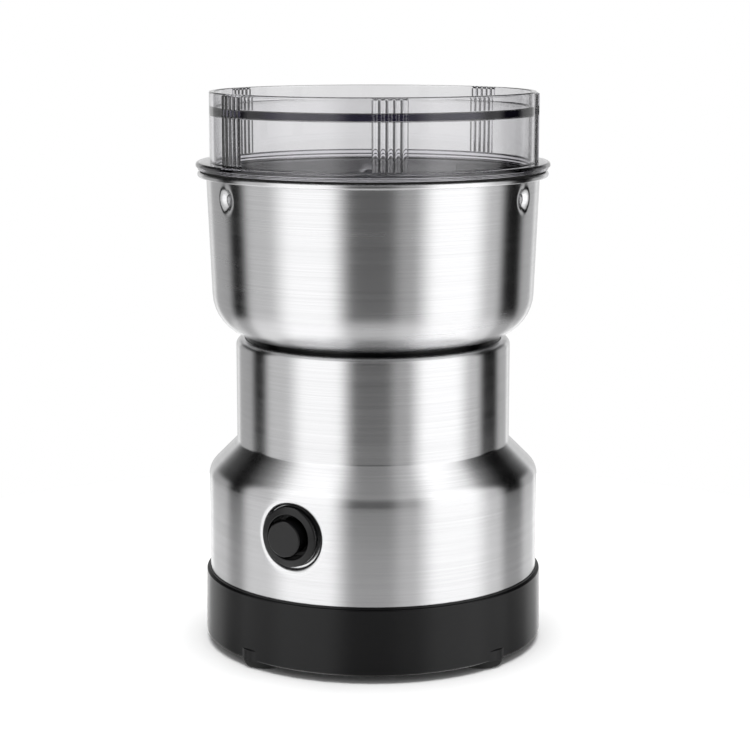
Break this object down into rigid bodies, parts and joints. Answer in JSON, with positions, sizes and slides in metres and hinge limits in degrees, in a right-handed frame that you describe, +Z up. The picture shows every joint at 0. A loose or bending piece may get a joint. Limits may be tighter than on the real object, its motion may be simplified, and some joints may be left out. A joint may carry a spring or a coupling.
{
  "type": "electric grinder",
  "caption": "Electric kitchen grinder with a steel grinding bowl over a waisted steel motor housing, a smoky clear twist-off lid, a push button and a black base.",
  "frame": {"origin": "centre of the plane that the feet rest on, on the motor's axis", "axes": "+Z up along the motor's axis; -Y towards the pictured front; +Y towards the cord inlet; the button is left of the front, towards -X"},
  "size_m": [0.1078, 0.1078, 0.17],
  "materials": {
    "brushed_steel_bowl": "spun steel, fine circular brushing",
    "brushed_steel_housing": "drawn steel, fine circular brushing",
    "smoky_clear_plastic": "clear smoky plastic, gloss",
    "black_moulded_plastic": "moulded, fine satin grain",
    "black_gloss_plastic": "moulded, gloss",
    "black_rubber": "matt",
    "zinc_plated_steel": "bright zinc",
    "ground_blade_steel": "ground",
    "sintered_bronze": "sintered",
    "laminated_iron": "stacked sheets",
    "enamelled_copper": "wound and varnished",
    "commutator_copper": "turned",
    "brush_carbon": "pressed carbon",
    "contact_brass": "stamped",
    "nylon_fan": "moulded",
    "cast_bracket": "cast"
  },
  "bodies": {
    "housing": {"base_cover": "black_moulded_plastic", "base_feet": "black_rubber", "base_screws": "zinc_plated_steel", "cord_inlet": "black_rubber", "housing_shell": "brushed_steel_housing", "switch_bezel": "black_gloss_plastic", "switch_nut": "black_moulded_plastic", "switch_body": "black_moulded_plastic", "switch_terminals": "contact_brass", "return_spring": "zinc_plated_steel", "inner_frame": "black_moulded_plastic", "grinding_bowl": "brushed_steel_bowl", "bowl_screws": "zinc_plated_steel", "bowl_bush": "black_moulded_plastic", "shaft_seal": "black_rubber", "motor_cushions": "black_rubber", "upper_bracket": "cast_bracket", "lower_bracket": "cast_bracket", "upper_bearing": "sintered_bronze", "lower_bearing": "sintered_bronze", "stator_core": "laminated_iron", "field_coils": "enamelled_copper", "motor_bolts": "zinc_plated_steel", "brush_holders": "contact_brass", "carbon_brushes": "brush_carbon", "brush_springs": "zinc_plated_steel"},
    "rotor": {"drive_shaft": "ground_blade_steel", "armature_core": "laminated_iron", "armature_winding": "enamelled_copper", "commutator": "commutator_copper", "cooling_fan": "nylon_fan", "blade_spacers": "zinc_plated_steel", "lower_blade": "ground_blade_steel", "upper_blade": "ground_blade_steel", "blade_nut": "zinc_plated_steel"},
    "button": {"button_cap": "black_gloss_plastic", "contact_bridge": "contact_brass"},
    "seal_ring": {"lid_seal": "black_rubber"},
    "lid": {"lid_cover": "smoky_clear_plastic"}
  },
  "joints": [
    {"name": "rotor_spin", "type": "hinge", "parent": "housing", "child": "rotor", "pos_m": [0, 0, 0.06], "axis": [0, 0, 1], "continuous": true},
    {"name": "button_press", "type": "slide", "parent": "housing", "child": "button", "axis": [0.4772, 0.8788, 0], "range_m": [0, 0.0025], "stiffness_N_per_m": 400, "springref_m": -0.003, "deforming": ["return_spring"]},
    {"name": "lid_turn", "type": "hinge", "parent": "housing", "child": "seal_ring", "pos_m": [0, 0, 0.146], "axis": [0, 0, -1], "range_deg": [0, 16]},
    {"name": "lid_lift", "type": "slide", "parent": "seal_ring", "child": "lid", "axis": [0, 0, 1], "range_m": [0, 0.06]}
  ]
}
